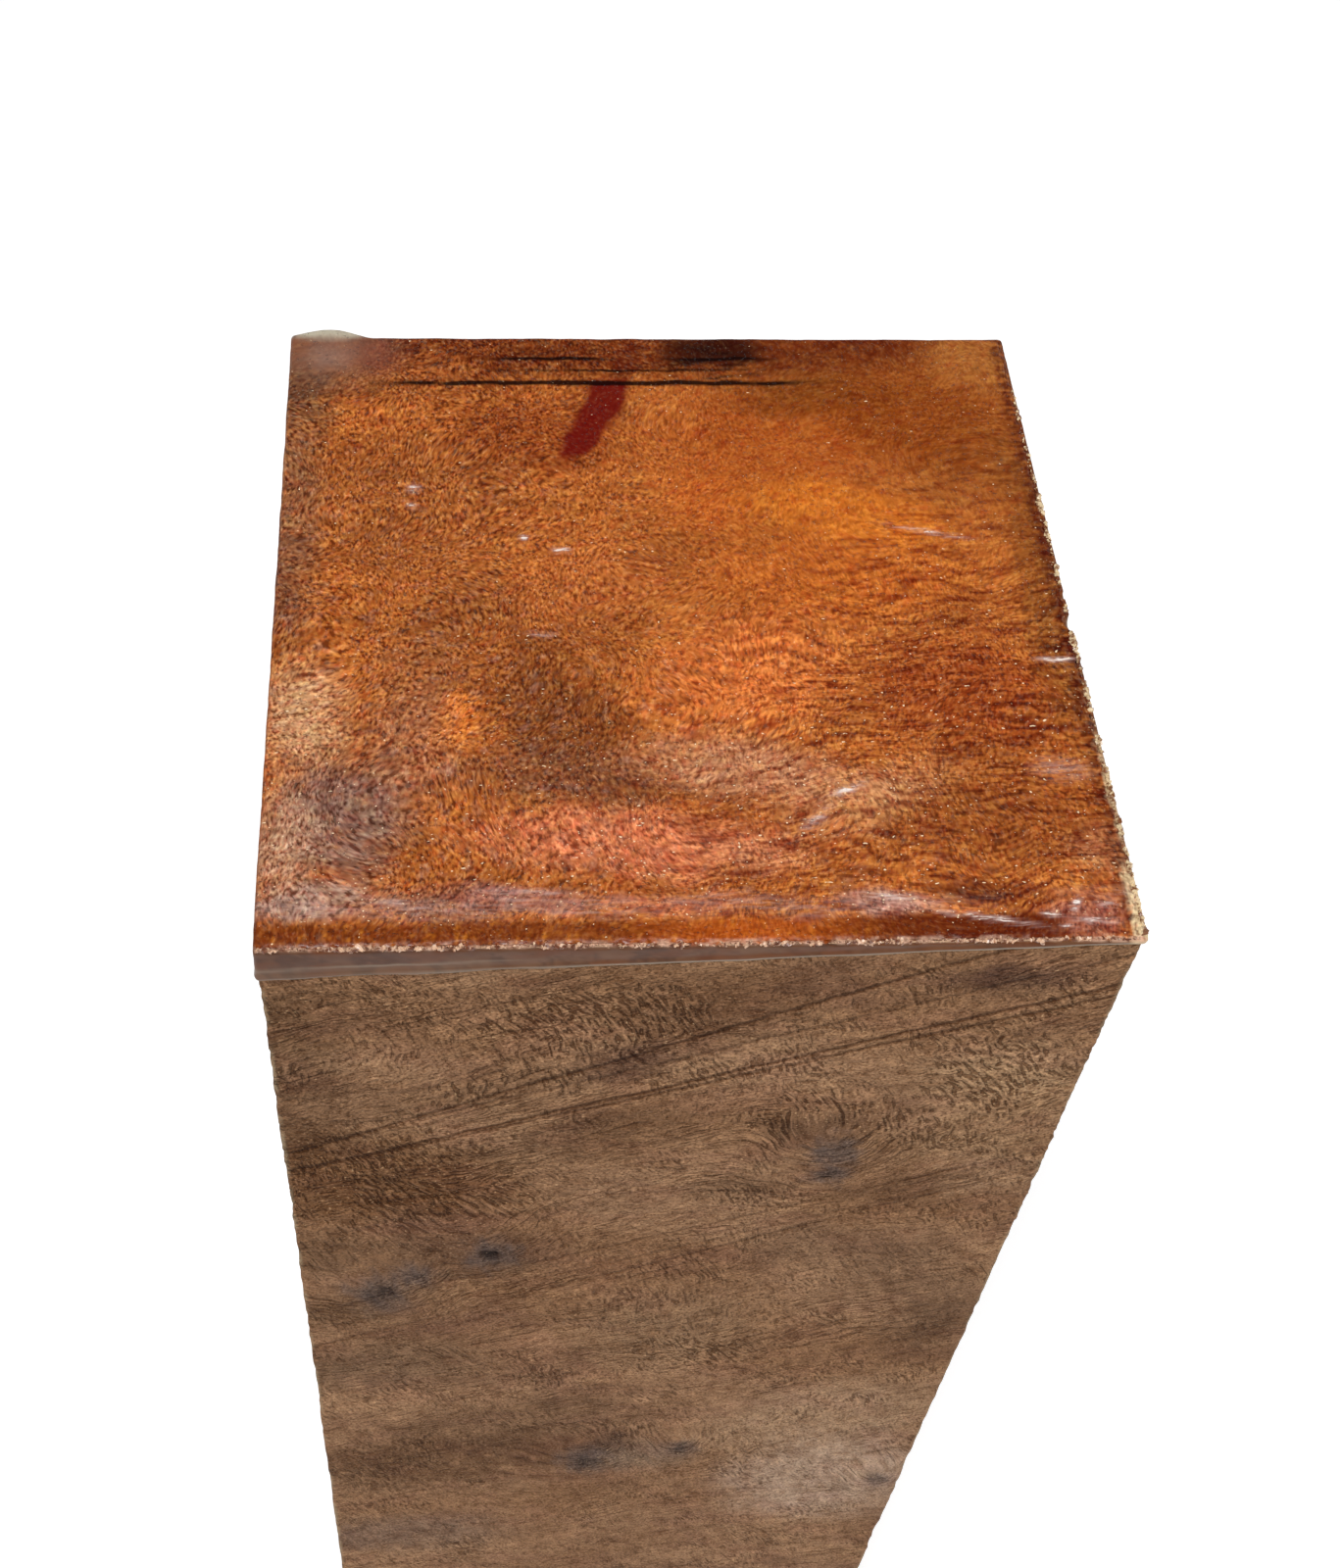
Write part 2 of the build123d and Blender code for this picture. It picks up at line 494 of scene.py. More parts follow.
colour = tone.tinted(tufts.rise(0.5, 0.66) * 0.55, tone.scaled(0.55, 0.45, 0.36))
colour = colour.tinted(tufts.rise(0.48, 0.32) * 0.5, tone.scaled(1.45, 1.42, 1.35))
# Torn strokes darkened: partly the grain's own dark fibres, partly painted shade inside the tears
colour = colour.tinted(torn * 0.68, dark)
colour = colour.tinted(strokes.rise(0.42, 0.25) * (roughest * 0.5 + 0.25), pale)
colour = colour.tinted(dust.rise(0.54, 0.68) * 0.6, dark)
colour = colour.tinted(dust.rise(0.44, 0.3) * 0.5, pale)
# Painted glints: cream flecks where the torn grain catches light, most where the saw tore most
colour = colour.tinted(dust.rise(0.31, 0.24) * (roughest * 0.6 + 0.15), seen(226, 190, 142))
colour = colour.tinted((lines * (0.1 + dust + strokes * 0.8)).least(1.0) * 0.9, dark)
patchy = place.noise((9, 9, 5), detail=2.0).rise(0.42, 0.58)
worn = x.size().rise(37.4, 37.9) * y.size().rise(37.4, 37.9) * patchy
colour = colour.tinted(worn * dust.rise(0.3, 0.55) * 0.7, seen(186, 164, 132))
height = dust * 0.2 - torn * 0.32 - strokes * (roughest * 0.3 + 0.2) - tufts * 0.55 - lines * 0.45
feed(shader, {"Base Color": colour, "Normal": relief(height)})
shader.inputs["Roughness"].default_value = 0.85
shader.inputs["Specular IOR Level"].default_value = 0.06
blank.data.materials.append(sawn)
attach(blank, "root")
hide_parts("burl_blank")

# Head seal. The end was dipped in clear wax, which turns the end grain a wet orange brown, lies in low
# ridges, runs a few millimetres down the sides to a pale line, and hangs in a bead at one corner.
coat_half = 38.27
rim = 0.4
bead_x = -34.2
bead_z = head_top - 2.0
bead_radius = 2.0
bead_proud = 1.9

# Patches of the end grain: centre x and y in mm, radii, turn in degrees, core, amount, colour
head_patches = (
    ((0, 38), (56, 8), 0, 0.4, 0.9, (96, 33, 8)),
    ((-24, 32), (9, 5), 0, 0.2, 0.5, (136, 70, 36)),
    ((-29.5, 35.5), (4, 4), 0, 0.2, 0.75, (118, 38, 24)),
    ((-33, 31), (6, 4), 0, 0.2, 0.5, (112, 62, 40)),
    ((-37, 30), (6, 9), 0, 0.2, 0.8, (88, 62, 46)),
    ((-37, 12), (5, 20), 0, 0.2, 0.7, (112, 80, 62)),
    ((-13, 23), (13, 8), 0, 0.3, 0.7, (128, 52, 16)),
    ((13, 23), (19, 11), 10, 0.3, 0.7, (170, 80, 28)),
    ((17, 29.5), (13, 5), 0, 0.2, 0.75, (112, 58, 18)),
    ((5, 13), (8, 7), 0, 0.2, 0.7, (196, 98, 38)),
    ((18, 12), (14, 6), -12, 0.3, 0.85, (212, 116, 40)),
    ((28, 26), (14, 12), 0, 0.3, 0.75, (130, 60, 14)),
    ((35, 35), (8, 7), 0, 0.3, 0.75, (176, 108, 52)),
    ((-24, 13), (18, 14), 0, 0.2, 0.6, (154, 86, 42)),
    ((-8, 3), (12, 7), 20, 0.3, 0.5, (190, 104, 52)),
    ((16, 4), (18, 8), 0, 0.3, 0.7, (200, 104, 40)),
    ((6, -9), (15, 10), 24, 0.2, 0.75, (226, 122, 60)),
    ((-11, -14), (8, 15), 30, 0.3, 0.8, (114, 60, 30)),
    ((-20, 0), (9, 7), 20, 0.2, 0.55, (120, 68, 36)),
    ((-35, -13), (6, 9), 0, 0.2, 0.75, (214, 164, 120)),
    ((-24, -8), (6, 7), 0, 0.3, 0.5, (138, 84, 54)),
    ((-20.5, -13.5), (2.6, 4.5), 10, 0.2, 0.75, (220, 122, 48)),
    ((-31, -24), (8, 8), 20, 0.3, 0.75, (122, 98, 92)),
    ((-36, -27), (4, 8), 0, 0.3, 0.6, (190, 150, 122)),
    ((-6, -27.5), (20, 5), -5, 0.2, 0.7, (216, 122, 86)),
    ((-11, -20.5), (13, 4.5), -10, 0.3, 0.75, (116, 68, 46)),
    ((6, -20), (16, 5), -8, 0.2, 0.65, (200, 140, 104)),
    ((7, -14), (10, 3), 0, 0.2, 0.5, (222, 124, 60)),
    ((27, -11), (13, 9), -8, 0.3, 0.65, (146, 58, 24)),
    ((16, -23), (12, 5), 20, 0.1, 0.5, (204, 144, 100)),
    ((30, -25), (12, 8), 0, 0.2, 0.65, (140, 72, 32)),
    ((-38, 2), (4, 10), 0, 0.2, 0.7, (110, 62, 44)),
    ((37, 4), (5, 32), 0, 0.3, 0.75, (130, 73, 32)),
    # These pale mauve and pink patches along the front edge are milky wax, partly painted sheen off its
    # ridges; the two dark ones among them are the wood's own colour
    ((-30, -29.5), (6, 3), -15, 0.2, 0.6, (122, 94, 84)),
    ((-24, -33.8), (8, 1.8), -12, 0.2, 0.65, (140, 98, 84)),
    ((-34, -33.6), (7, 2.8), 4, 0.4, 0.75, (164, 134, 120)),
    ((-16, -33.4), (9, 2.2), -8, 0.3, 0.75, (150, 94, 84)),
    ((-3, -33.8), (9, 1.5), 0, 0.3, 0.5, (186, 106, 80)),
    ((16, -34.0), (6, 1.6), -5, 0.3, 0.7, (176, 134, 124)),
    ((23.7, -32.9), (5.5, 1.5), -8, 0.3, 0.8, (100, 38, 18)),
    ((25, -37.4), (8, 0.9), 0, 0.4, 0.8, (92, 32, 18)),
    ((33.3, -35.7), (6, 2.7), 0, 0.2, 0.65, (152, 90, 86)),
    ((5, -29), (7, 4), 0, 0.2, 0.4, (196, 130, 96)),
    ((36, -29), (4, 4), 0, 0.2, 0.4, (170, 116, 88)),
    ((-25, -17), (7, 9), 0, 0.3, 0.4, (158, 108, 84)),
)
# Whitish frosting in the wax, partly milky wax and partly painted glints and sheen off its ridges: centre x
# and y in mm, radii, turn in degrees, amount
frosting_and_glints = (
    ((-25.6, -33.9), (4.8, 0.7), -13, 0.5),
    ((-16, -33.2), (6, 1.2), -12, 0.3),
    ((-34, -34.2), (4, 1.5), 0, 0.35),
    ((-14, -32.6), (6, 0.3), -4, 0.45),
    ((1, -33.2), (7, 0.3), -2, 0.2),
    ((-9, -34.9), (10, 0.35), -2, 0.3),
    ((8, -34.6), (9, 0.3), -2, 0.2),
    ((16.5, -33.6), (4, 0.8), -8, 0.6),
    ((24.8, -35.9), (7.5, 0.4), -11, 0.85),
    ((30.2, -35.6), (1.6, 0.5), -12, 0.8),
    ((31.4, -37.0), (1.6, 0.35), -5, 0.7),
    ((34, -36.2), (3.2, 0.45), -4, 0.8),
    ((32.6, -34.6), (0.7, 1.2), -35, 1.0),
    ((35.2, -34.6), (1.8, 0.5), -10, 0.6),
    ((34, -20), (4, 2), -5, 0.3),
    ((11, -25.2), (3, 0.8), 42, 0.55),
    ((14.2, -22.0), (2.6, 0.6), 22, 0.8),
    ((26, 9.6), (6, 0.5), -14, 0.7),
    ((36, -7), (3, 0.45), 0, 0.9),
    ((-25, 15.6), (1.2, 0.9), 0, 0.9),
    ((-25.2, 13.2), (0.9, 0.6), 0, 0.8),
    ((-14.3, 8.9), (0.7, 0.5), 0, 1.0),
    ((-10.6, 7.3), (1.5, 0.5), -10, 1.0),
    ((-13, -3.5), (2.2, 0.4), -5, 0.5),
)


def calm_at(x, y):
    """How much softer the end grain's figure looks at a place, from 0 to 1: most at the back right."""
    return x.rise(-24, 4) * 0.22 + x.rise(-8, 16) * y.rise(-8, 12) * 0.4


def end_tone(place, flow, end, patches):
    """The colour of end grain under wax, down to figures of about a millimetre."""
    base = place.noise((10, 9, 40), detail=2.0).rise(0.38, 0.62)
    tone = base.between(seen(178, 98, 44), seen(158, 86, 38))
    soft = place.stirred(6, 1.8).stirred(1.8, 0.8)
    ragged = (flow.noise((1.9, 0.8, 9), detail=4.0, rough=0.7) - 0.5) * 3.0 + 1.0
    for (x, y), (long, wide), turn, core, amount, colour in patches:
        shade = (soft.patch((x, y, end), (long, wide, 20), turn, core=core) * ragged).least(1.0)
        tone = tone.tinted(shade * amount, seen(*colour))
    x, y = place.axes()[:2]
    cloud = flow.noise((1.3, 1.0, 9), detail=3.0, rough=0.65, output=1)
    red, gold, mauve = cloud.axes()
    tone = tone.tinted(red.rise(0.5, 0.66) * 0.65, tone.scaled(0.75, 0.38, 0.38))
    golden = tone.vector("MULTIPLY_ADD", (1.2, 1.4, 1.2), (0.03, 0.03, 0.01))
    tone = tone.tinted(gold.rise(0.5, 0.66) * 0.5, golden)
    tone = tone.tinted(mauve.rise(0.52, 0.7) * (x + y).rise(20, -40) * 0.5, seen(138, 104, 92))
    bands = flow.noise((6, 0.6, 9), detail=3.0, rough=0.6)
    sharp = 1.0 - calm_at(x, y) - (x - y * 0.5).rise(6, 26) * y.rise(4, -4) * 0.3
    woven = (x - y * 0.5).rise(-2, 22) * (y.rise(24, 4) * 0.7 + 0.25)
    tone = tone.tinted(bands.rise(0.5, 0.62) * woven, tone.scaled(0.45, 0.22, 0.18))
    tone = tone.tinted(bands.rise(0.48, 0.36) * woven * 0.7, tone.scaled(1.35, 1.5, 1.5))
    mottle = flow.noise((2.4, 1.8, 9), detail=4.0, rough=0.75)
    tone = tone.tinted(mottle.rise(0.5, 0.68) * 0.6 * sharp, tone.scaled(0.38, 0.28, 0.22))
    tone = tone.tinted(mottle.rise(0.48, 0.31) * 0.6 * sharp, tone.scaled(1.5, 1.65, 1.8))
    tufts = flow.noise((0.85, 0.6, 9), detail=1.0)
    tone = tone.tinted(tufts.rise(0.53, 0.7) * 0.5 * sharp, tone.scaled(0.45, 0.33, 0.26))
    return tone.tinted(tufts.rise(0.47, 0.3) * 0.55 * sharp, tone.scaled(1.5, 1.65, 1.7))


def coat_tone(place, over):
    """The colour of the wax coat on the sides: the wood greyed and darkened, down to a pale line."""
    tone = side_tone(place, *growth(place)).tinted(0.72, seen(84, 43, 18))
    grey = place.noise((1.7, 1.7, 1.6), detail=3.0, rough=0.65)
    tone = tone.tinted(grey.rise(0.46, 0.62) * 0.55, seen(62, 36, 23))
    clear = place.noise((4, 4, 1.5), detail=2.0).rise(0.46, 0.62)
    tone = tone.tinted(over.rise(1.2, 2.6) * 0.4, seen(74, 42, 29)).tinted(clear * 0.5, seen(112, 62, 34))
    wide = place.axes()[0].rise(-13, -22)
    tone = tone.tinted(over.near(0.7, 0.9) * wide * 0.25, seen(132, 112, 94))
    tone = tone.tinted(over.near(1.35, 0.25) * wide * 0.5, seen(160, 146, 128))
    return tone.tinted(over.near(0.12, 0.22) * 0.8, seen(178, 162, 140))


def coat_shift(place, normal, over, up, end):
    """How the wax lies: its wavy lower line, the line's raised lip, and a ragged rim where fibres tore."""
    x, y, z = place.axes()
    outer = x.size().most(y.size())
    above = z * up - up * end
    outside = (outer - half_side - 0.1).most(above + 0.47).rise(0, 0.01)
    wave = (place.noise((6, 6, 30), detail=2.0) - 0.5) * over.rise(0.7, 0.0) * 0.8
    lip = over.near(0.25, 0.4) * 0.09
    coarse = (place.noise((3.5, 3.5, 3.5), detail=2.0) - 0.7) * 0.25
    peel = coarse + (place.noise((1.1, 1.1, 1.1)) - 0.6) * 0.05
    at_rim = y.rise(-37.7, -38.1).most(x.rise(37.7, 38.1)) * above.rise(-0.75, -0.35)
    ragged = place.noise((0.55, 0.55, 1.2), detail=2.0, rough=0.6).rise(0.35, 0.65) * at_rim * -0.4
    level = above.rise(-0.42, -0.3) * 0.14  # keeps the ridges and fibres of the end below its plane
    height = ((peel + ragged) * over.rise(0.2, 0.8) + lip - level) * outside
    return normal.times(height).vector("ADD", place.place(0.0, 0.0, wave * up * outside)), outside


def head_wax(place, normal):
    over = over_head_line(place)
    shift, outside = coat_shift(place, normal, over, 1, head_top)
    x, y, z = place.axes()
    bulge = x.rise(-39.8, bead_x - 0.4) * x.rise(-29.2, bead_x + 0.5) * bead_proud
    off_middle = (z - bead_z) / bead_radius
    round_off = (1.0 - off_middle * off_middle * off_middle * off_middle).most(0.0).math("SQRT")
    round_off = round_off.most(z.rise(bead_z, bead_z + 1) * 0.85)
    bead = bulge * round_off * y.rise(half_side - 0.9, half_side + 0.15) * outside
    ridge = place.stirred(9, 1.2).axes()[1].near(-34.0, 1.6) * place.noise((12, 2, 40)).rise(0.3, 0.6)
    sag = bead * z.rise(bead_z, head_top) * -0.2
    lift = place.place(0.0, bead, ridge * 0.12 * z.rise(wood_head, wood_head + 0.2) + sag)
    chip = scooped(place, outside * side_coat)
    shift = shift.vector("ADD", lift).vector("ADD", chip)
    on_end = z.rise(head_top - 0.5, head_top - 0.25)
    flow = place.stirred(14, 4).stirred(3, 0.5)
    tone = end_tone(place, flow, head_top, head_patches)

    # A crimson stain that runs forward from the gum lines, and a dark smudge behind them
    across, back = place.stirred(3, 0.9).stirred(0.8, 0.2).axes()[:2]
    off_stain = (across + 4.4 + (31.5 - back) * 0.3 + (31.5 - back) * (31.5 - back) * 0.01).size()
    stain = (off_stain + (back - 27.0) * (back - 27.0) * 0.02).rise(2.8, 1.6)
    stain = stain * back.rise(18.6, 20.6) * back.rise(32.2, 31.0)
    run = place.stirred(2, 0.6).patch((-2.9, 34.2, head_top), (1.8, 4.8, 4), -12, core=0.2)
    smudge = place.stirred(3, 1.0).patch((6.5, 36.3, head_top), (7.5, 3.4, 4), core=0.4)
    tone = tone.tinted(run * 0.6, seen(90, 24, 12)).tinted(smudge * 0.88, seen(50, 18, 10))
    tone = tone.tinted(stain * 0.95, seen(104, 16, 14))

    # The clear band of thick wax along the front
    band = (place.stirred(7, 0.5).axes()[1] - x * 0.004).rise(-35.3, -36.0) * x.rise(33.0, 29.5)
    gold = place.noise((0.45, 1.4, 9), detail=2.0).rise(0.52, 0.72)
    clear = tone.tinted(0.8, seen(108, 45, 13)).tinted(x.near(4, 14) * 0.6, seen(196, 92, 30))
    clear = clear.tinted(x.rise(8, 24) * 0.7, seen(92, 30, 10))
    tone = tone.tinted(band, clear.tinted(gold * x.rise(24, 8) * 0.5, seen(206, 122, 40)))
    serrated = place.noise((2, 0.5, 9), detail=1.0).rise(0.35, 0.55) * x.rise(36.2, 37.3) * y.rise(-38, -36)
    tone = tone.tinted(serrated * 0.8, seen(78, 22, 16))
    frayed = place.stirred(1.4, 0.7).axes()
    lip = frayed[0].rise(37.0, 37.4) * y.rise(-29.5, -32)
    lip = lip.most(frayed[0].rise(37.7, 38.0) * frayed[1].near(-22, 9) * 0.8)
    frayed_rim = frayed[1].rise(-37.75, -38.05) * place.noise((1.6, 1.6, 9), detail=2.0).rise(0.38, 0.55)
    stripes = place.stirred(4, 0.3).noise((5, 0.3, 9), detail=1.0).rise(0.48, 0.58)
    striped = stripes * place.patch((6.5, 34, head_top), (7, 4, 4), core=0.5)
    tone = tone.tinted(striped * 0.8, seen(36, 12, 6))
    tone = coat_tone(place, over).tinted(on_end, tone)
    tone = tone.tinted(lip * z.rise(head_top - 1.6, head_top - 0.9), seen(214, 184, 142))
    haze = place.stirred(3, 1).patch((-34.5, 36.5, head_top), (11, 8, 9), core=0.3)
    tone = tone.tinted(frayed_rim * z.rise(head_top - 0.65, head_top - 0.4) * 0.75, seen(212, 172, 146))
    cloudy = place.stirred(3, 1).patch((-34, 35.2, head_top), (4.2, 3.6, 9))
    tone = tone.tinted(haze * on_end * 0.6, seen(130, 92, 74))
    tone = tone.tinted(cloudy * on_end * 0.36, seen(156, 132, 120))
    tone = tone.tinted(bead.rise(0.05, 0.9) * 0.85, seen(200, 192, 168))

    # Frosting over the ridge and the listed marks: partly milky wax, partly painted sheen and glints
    frost_and_glint = ridge * 0.2
    flecked = place.stirred(1.2, 0.35)
    for (across, back), (long, wide), turn, amount in frosting_and_glints:
        mark = flecked.patch((across, back, head_top), (long, wide, 9), turn, core=0.1)
        frost_and_glint = frost_and_glint.most(mark * amount)
    covered = stain * 0.7 + smudge * 0.6 + band * 0.4 + haze * 0.85
    grainy = on_end * (1.0 - covered).most(0.0) * (1.0 - calm_at(x, y))
    grainy = grainy * (place.noise((2.0, 1.5, 9), detail=2.0).rise(0.3, 0.62) * 0.6 + 0.5).least(1.0)
    bent = place.stirred(4, 0.35).stirred(1.1, 0.12).axes()
    thick = place.noise((2.5, 2.5, 2.5)) * 1.7
    marks = place.place(on_end, frost_and_glint * on_end, grainy)
    return shift, {"tone": tone, "flow": flow, "marks": marks, "bent": place.place(bent[0], bent[1], thick)}


def cap(name, up, end, bare_end, dip, lean, deep_side, cuts):
    """Coat over one end: a rounded block cut off at its dip line and hollowed out around the wood."""
    far = end - up * 9  # past the lowest point of the dip line
    corners = ((-coat_half, -coat_half, min(end, far)), (coat_half, coat_half, max(end, far)))
    piece = start_block(name, *corners, rim)
    slope = math.tan(math.radians(lean))
    turn = math.radians(deep_side)
    to_end = Vector((slope * math.cos(turn), slope * math.sin(turn), up)).normalized()
    bpy.ops.mesh.select_all(action="SELECT")
    waterline = (0, 0, (end - up * dip) * MM)
    bpy.ops.mesh.bisect(plane_co=waterline, plane_no=to_end, use_fill=True, clear_inner=True)
    for axis in (0, 1):
        cut_along(piece, axis, cuts, 10)
        cut_along(piece, axis, cuts, 2.5)
    cut_along(piece, 2, 13, 0.2)
    # The cuts left the face at the waterline in strips, so it is joined up before it makes room for the wood
    select(piece, "faces", lambda face: face.normal.dot(to_end) < -0.999)
    bpy.ops.mesh.dissolve_faces()
    bpy.ops.mesh.inset(thickness=(coat_half - half_side) * MM)
    bpy.ops.mesh.extrude_region_move()
    bpy.ops.transform.resize(value=(1, 1, 0), center_override=(0, 0, bare_end * MM))
    bpy.ops.mesh.select_all(action="SELECT")
    bpy.ops.mesh.normals_make_consistent(inside=False)
    bpy.ops.object.mode_set(mode="OBJECT")
    return piece


head_cap = cap("wax_seal_head_coat", 1, head_top, wood_head, *head_dip, cuts=14)
shape_with(head_cap, head_wax)
bpy.ops.object.shade_smooth_by_angle(angle=math.radians(60))

waxed, shader, place, tone, flow, marks, bent = material("waxed_head_grain", "tone", "flow", "marks", "bent")
on_end, frost_and_glint, grainy = marks.axes()
x, y = place.axes()[:2]
cells = flow.noise((0.35, 0.5, 5), detail=1.0, output=1)
shade, red, cream = cells.axes()
threads = flow.noise((1.5, 0.26, 5), detail=1.0)
grain = shade + (threads - 0.5) * (x - y * 0.5).rise(0, 24) * 0.6
dark = tone.scaled(0.34, 0.22, 0.16)
glow = tone.vector("MULTIPLY_ADD", (1.4, 1.55, 1.6), (0.07, 0.045, 0.015))
colour = tone.tinted(grain.rise(0.51, 0.66) * 0.95 * grainy, dark)
colour = colour.tinted(grain.rise(0.49, 0.33) * 0.95 * grainy, glow)
colour = colour.tinted(red.rise(0.5, 0.66) * 0.6 * grainy, colour.scaled(0.95, 0.55, 0.5))
cream_tone = colour.vector("MULTIPLY_ADD", (1.15, 1.25, 1.4), (0.07, 0.07, 0.05))
colour = colour.tinted(cream.rise(0.54, 0.68) * 0.6 * grainy, cream_tone)

# Gum lines
across, back, thick = bent.axes()
main_line = back.near(31.1, 0.6) * across.rise(-33, -20) * across.rise(20, 10)
second_line = back.near(34.8, 0.45) * across.near(-11, 10).most(across.near(7.5, 8))
third_line = back.near(33.0, 0.32) * across.near(-4, 17) * 0.7
lines = (main_line.most(second_line).most(third_line) * thick * 1.6).least(1.0)
colour = colour.tinted(lines * 0.95 * on_end, seen(26, 8, 5))

# Frosting in the wax: partly milky wax, partly painted sheen off its ridges, with painted glints where it is
# densest
streaks = bent.noise((2.4, 0.3, 3), detail=2.0, rough=0.65).rise(0.4, 0.6)
colour = colour.tinted(frost_and_glint * (streaks * 0.75 + 0.2), seen(222, 190, 180))
colour = colour.tinted(frost_and_glint.rise(0.45, 0.8) * streaks.rise(0.2, 0.7) * 0.9, seen(252, 238, 228))
# Painted glints: scattered near-white points of colour standing for the lamps' reflections in small ripples,
# crowded towards the front right and thinned on the clear band
points = place.noise((0.3, 0.24, 0.3), detail=0.0)
glint_crowding = (x * 0.5 - y * 1.2).rise(-26, 40) * thick * 0.06 + frost_and_glint * 0.08
points = (points + glint_crowding * (y.rise(-36.4, -35.2) * 0.6 + 0.4)).rise(0.82, 0.9)
colour = colour.tinted(points * on_end * 0.9, seen(255, 226, 186))
height = place.noise((0.3, 0.3, 0.3), detail=0.0).rise(0.7, 0.85) * on_end * 0.12
roughness = 0.4 - on_end * 0.12 - frost_and_glint * 0.05
feed(shader, {"Base Color": colour, "Normal": relief(height), "Roughness": roughness})
shader.inputs["Specular IOR Level"].default_value = 0.2
head_cap.data.materials.append(waxed)
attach(head_cap, "root")
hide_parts("wax_seal_head")

# Foot seal. The same wax on the lower end, dipped a little deeper and leaning towards the back. The photo
# cuts it off, so it is plain: no bead, no chip, and end grain of one even figure.
foot_patches = (
    ((-16, 14), (20, 12), 20, 0.2, 0.6, (186, 104, 46)),
    ((14, -12), (18, 14), -30, 0.2, 0.6, (132, 72, 32)),
    ((22, 22), (13, 9), 0, 0.2, 0.5, (196, 120, 60)),
)


def foot_wax(place, normal):
    over = over_foot_line(place)
    shift = coat_shift(place, normal, over, -1, 0.0)[0]
    on_end = place.axes()[2].rise(0.5, 0.25)
    flow = place.stirred(14, 4).stirred(3, 0.5)
    tone = coat_tone(place, over).tinted(on_end, end_tone(place, flow, 0.0, foot_patches))
    return shift, {"tone": tone, "flow": flow, "marks": place.place(on_end, 0.0, 0.0)}


foot_cap = cap("wax_seal_foot_coat", -1, 0, wood_foot, *foot_dip, cuts=9)
shape_with(foot_cap, foot_wax)
bpy.ops.object.shade_smooth_by_angle(angle=math.radians(60))
foot_waxed, shader, place, tone, flow, marks = material("waxed_foot_grain", "tone", "flow", "marks")
on_end = marks.axes()[0]
grain = flow.noise((0.21, 0.34, 5), detail=1.0)
colour = tone.tinted(grain.rise(0.5, 0.66) * 0.9 * on_end, tone.scaled(0.34, 0.22, 0.16))
colour = colour.tinted(grain.rise(0.48, 0.32) * 0.9 * on_end, tone.scaled(1.5, 1.7, 1.8))
height = place.noise((1.3, 1.3, 1.3), detail=1.0) * 0.05
feed(shader, {"Base Color": colour, "Normal": relief(height), "Roughness": 0.4 - on_end * 0.12})
foot_cap.data.materials.append(foot_waxed)
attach(foot_cap, "root")
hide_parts("wax_seal_foot")

# Torn edge fibres. The saw tore crumbs and short fibres up along the head's front and right edges. The
# wax glued them down, and their dry tips are paler than the rest.
# The box that no fibre sticks out of, in mm
fibre_low = (-38.44, -38.44, 0.0)
fibre_high = (38.44, 38.0, head_top - 0.01)


def fibres(name, start, end, count, least, most, scatter, seed):
    """Torn bits scattered along an edge from start to end, in mm, each turned and stretched by chance."""
    bpy.ops.object.select_all(action="DESELECT")
    bpy.ops.mesh.primitive_ico_sphere_add(subdivisions=1, radius=0.5 * MM, location=(0, 0, 0))
    made = bpy.context.object
    made.name = made.data.name = name
    tree = bpy.data.node_groups.new(name + "_scatter", "GeometryNodeTree")
    tree.interface.new_socket("Mesh", in_out="INPUT", socket_type="NodeSocketGeometry")
    tree.interface.new_socket("Mesh", in_out="OUTPUT", socket_type="NodeSocketGeometry")
    lump = Field(tree, tree.nodes.new("NodeGroupInput").outputs[0])

    def chance(low, high, turn):
        settings = {"data_type": "FLOAT_VECTOR"}
        return lump.node("FunctionNodeRandomValue", settings, {0: low, 1: high, "Seed": seed + turn})

    place = Field(tree, tree.nodes.new("GeometryNodeInputPosition").outputs[0]).scaled(1 / MM)
    step = tuple((b - a) * MM / (count - 1) for a, b in zip(start, end))
    first = tuple(value * MM for value in start)
    sockets = {"Count": count, "Start Location": first, "Offset": step}
    line = lump.node("GeometryNodeMeshLine", {"mode": "OFFSET"}, sockets)
    reach = tuple(value * MM for value in scatter)
    back = tuple(-value for value in reach)
    spread = lump.node("GeometryNodeSetPosition", {}, {"Geometry": line, "Offset": chance(back, reach, 0)})
    clear = 1.0
    for middle, long, _ in notches:
        clear = clear * ((place.axes()[1] - middle).size() - long / 2).most(0.0)
    sockets = {
        "Points": spread,
        "Selection": clear,
        "Instance": lump,
        "Rotation": chance((0, 0, 0), (0.6, 0.6, 6.28), 1),
        "Scale": chance(least, most, 2).times(place.noise((2, 2, 2)).rise(0.36, 0.6) + 0.35),
    }
    lumps = lump.node("GeometryNodeInstanceOnPoints", {}, sockets)
    lumps = lump.node("GeometryNodeRealizeInstances", {}, {"Geometry": lumps})
    torn = place.noise((0.2, 0.2, 0.2), output=1).vector("SUBTRACT", (0.5, 0.5, 0.5)).scaled(0.5)
    torn = place.vector("ADD", torn).vector("MINIMUM", fibre_high)
    torn = torn.vector("MAXIMUM", fibre_low).scaled(MM)
    lumps = lump.node("GeometryNodeSetPosition", {}, {"Geometry": lumps, "Position": torn})
    tree.links.new(lumps.output, tree.nodes.new("NodeGroupOutput").inputs[0])
    made.modifiers.new("scatter", "NODES").node_group = tree
    bpy.ops.object.modifier_apply(modifier="scatter")
    bpy.ops.object.shade_smooth_by_angle(angle=math.radians(30))
    return made


def dress_fibres(piece, first, second):
    dry, shader, place = material(piece.name + "_dry")
    mix = place.noise((0.5, 0.5, 0.5), detail=2.0).rise(0.4, 0.6)
    colour = mix.between(seen(*first), seen(*second))
    feed(shader, {"Base Color": colour})
    shader.inputs["Roughness"].default_value = 0.3
    piece.data.materials.clear()
    piece.data.materials.append(dry)
    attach(piece, "root")


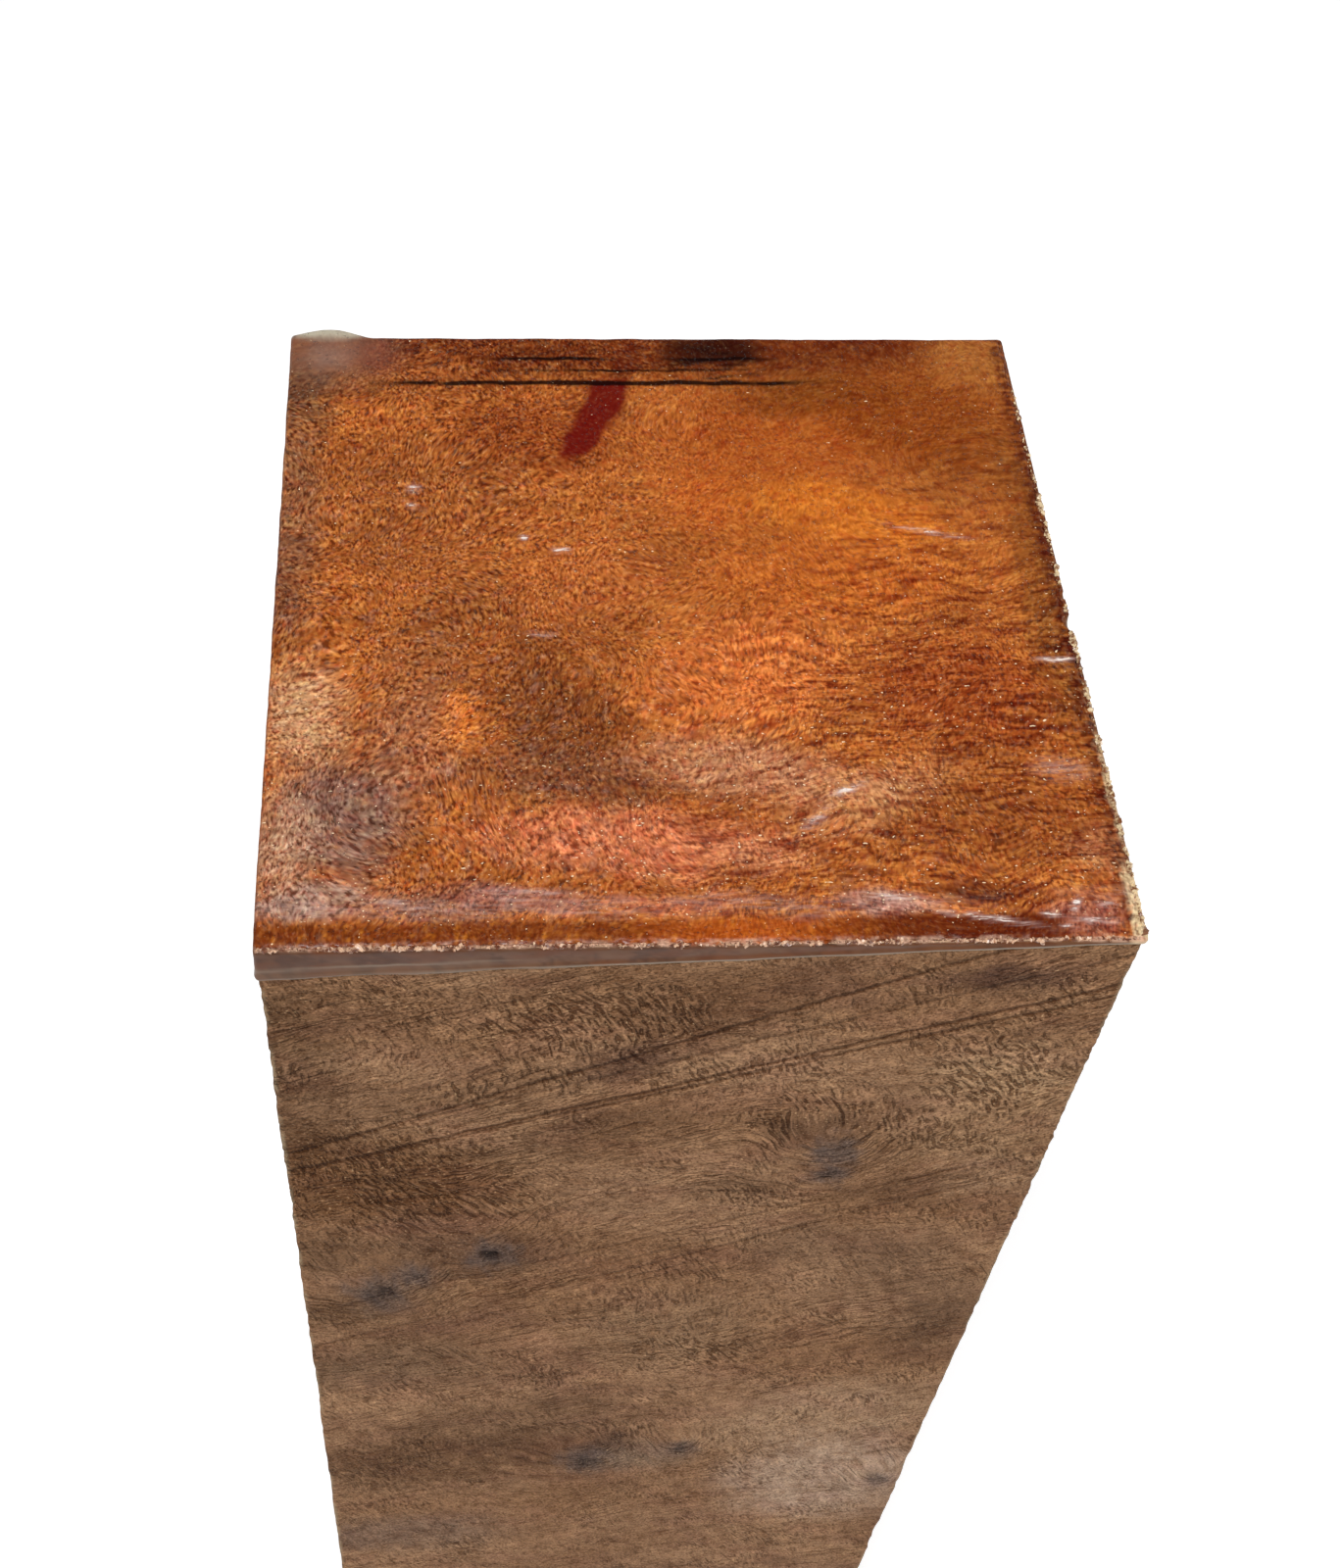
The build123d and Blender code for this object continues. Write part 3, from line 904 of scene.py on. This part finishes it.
rim_z = head_top - 0.45
front_fibres = fibres(
    "front_edge_fibres",
    start=(-37.8, -38.02, rim_z),
    end=(37.6, -38.02, rim_z),
    count=500,
    least=(0.15, 0.15, 0.12),
    most=(0.8, 0.4, 0.45),
    scatter=(0.1, 0.1, 0.1),
    seed=3,
)
dress_fibres(front_fibres, (112, 66, 46), (222, 180, 148))
right_fibres = fibres(
    "right_edge_fibres",
    start=(38.1, -37.6, rim_z),
    end=(38.1, 30.0, rim_z),
    count=380,
    least=(0.2, 0.2, 0.2),
    most=(0.7, 0.9, 0.7),
    scatter=(0.12, 0.1, 0.2),
    seed=9,
)
dress_fibres(right_fibres, (124, 76, 44), (226, 200, 158))

# Room. A plain pale floor that runs into a pale cove, a dark ceiling, and three soft lamps.
bpy.ops.mesh.primitive_plane_add(size=12, location=(0, 0, 0))
floor = bpy.context.object
floor.name = "floor"
pale = bpy.data.materials.new("pale_floor")
pale.use_nodes = True
tree = pale.node_tree
shader = next(node for node in tree.nodes if node.type == "BSDF_PRINCIPLED")
shader.inputs["Base Color"].default_value = (0.8, 0.8, 0.8, 1)
shader.inputs["Roughness"].default_value = 0.9
shader.inputs["Emission Strength"].default_value = 1.0
paths = tree.nodes.new("ShaderNodeLightPath").outputs
direct = Field(tree, paths["Is Camera Ray"])
for name in ("Is Glossy Ray", "Is Transmission Ray"):
    direct = direct + Field(tree, paths[name])
glow = direct.between((0, 0, 0, 1), (0.5, 0.5, 0.5, 1))
tree.links.new(glow.output, shader.inputs["Emission Color"])
floor.data.materials.append(pale)

world = bpy.data.worlds.new("cove")
bpy.context.scene.world = world
world.use_nodes = True
tree = world.node_tree
height = Field(tree, tree.nodes.new("ShaderNodeTexCoord").outputs["Generated"]).axes()[2]
shade = height.rise(0.3, 0.45).between((1, 1, 1, 1), (0.07, 0.07, 0.075, 1))
tree.links.new(shade.output, tree.nodes["Background"].inputs["Color"])
tree.nodes["Background"].inputs["Strength"].default_value = 0.6


def lamp(name, place, aim, width, power):
    """A square soft lamp at a place, turned to face its aim."""
    bpy.ops.object.light_add(type="AREA", location=place)
    made = bpy.context.object
    made.name = name
    made.data.size = width
    made.data.energy = power
    made.rotation_euler = (Vector(aim) - Vector(place)).to_track_quat("-Z", "Y").to_euler()


lamp("key_lamp", (0.05, 0.10, 1.75), (0, 0, 0.3), 0.3, 4)
lamp("front_lamp", (-0.4, -0.75, 1.75), (0, 0, 0.25), 0.4, 22)
lamp("side_lamp", (1.3, 0.1, 0.7), (0, 0, 0.15), 0.8, 5)

# Camera at the photo's viewing angle: close to the head, looking down the front face
bpy.ops.object.camera_add(
    location=(-21.08 * MM, -134.73 * MM, (head_top + 153.77) * MM),
    rotation=tuple(math.radians(angle) for angle in (39.414, -2.450, -2.475)),
)
camera = bpy.context.object
camera.data.lens = 49.08
camera.data.sensor_width = 36
camera.data.shift_x = 88 / 1600
camera.data.shift_y = -112 / 1600
camera.data.clip_start = 0.01
bpy.context.scene.camera = camera
bpy.context.scene.view_settings.view_transform = "Standard"
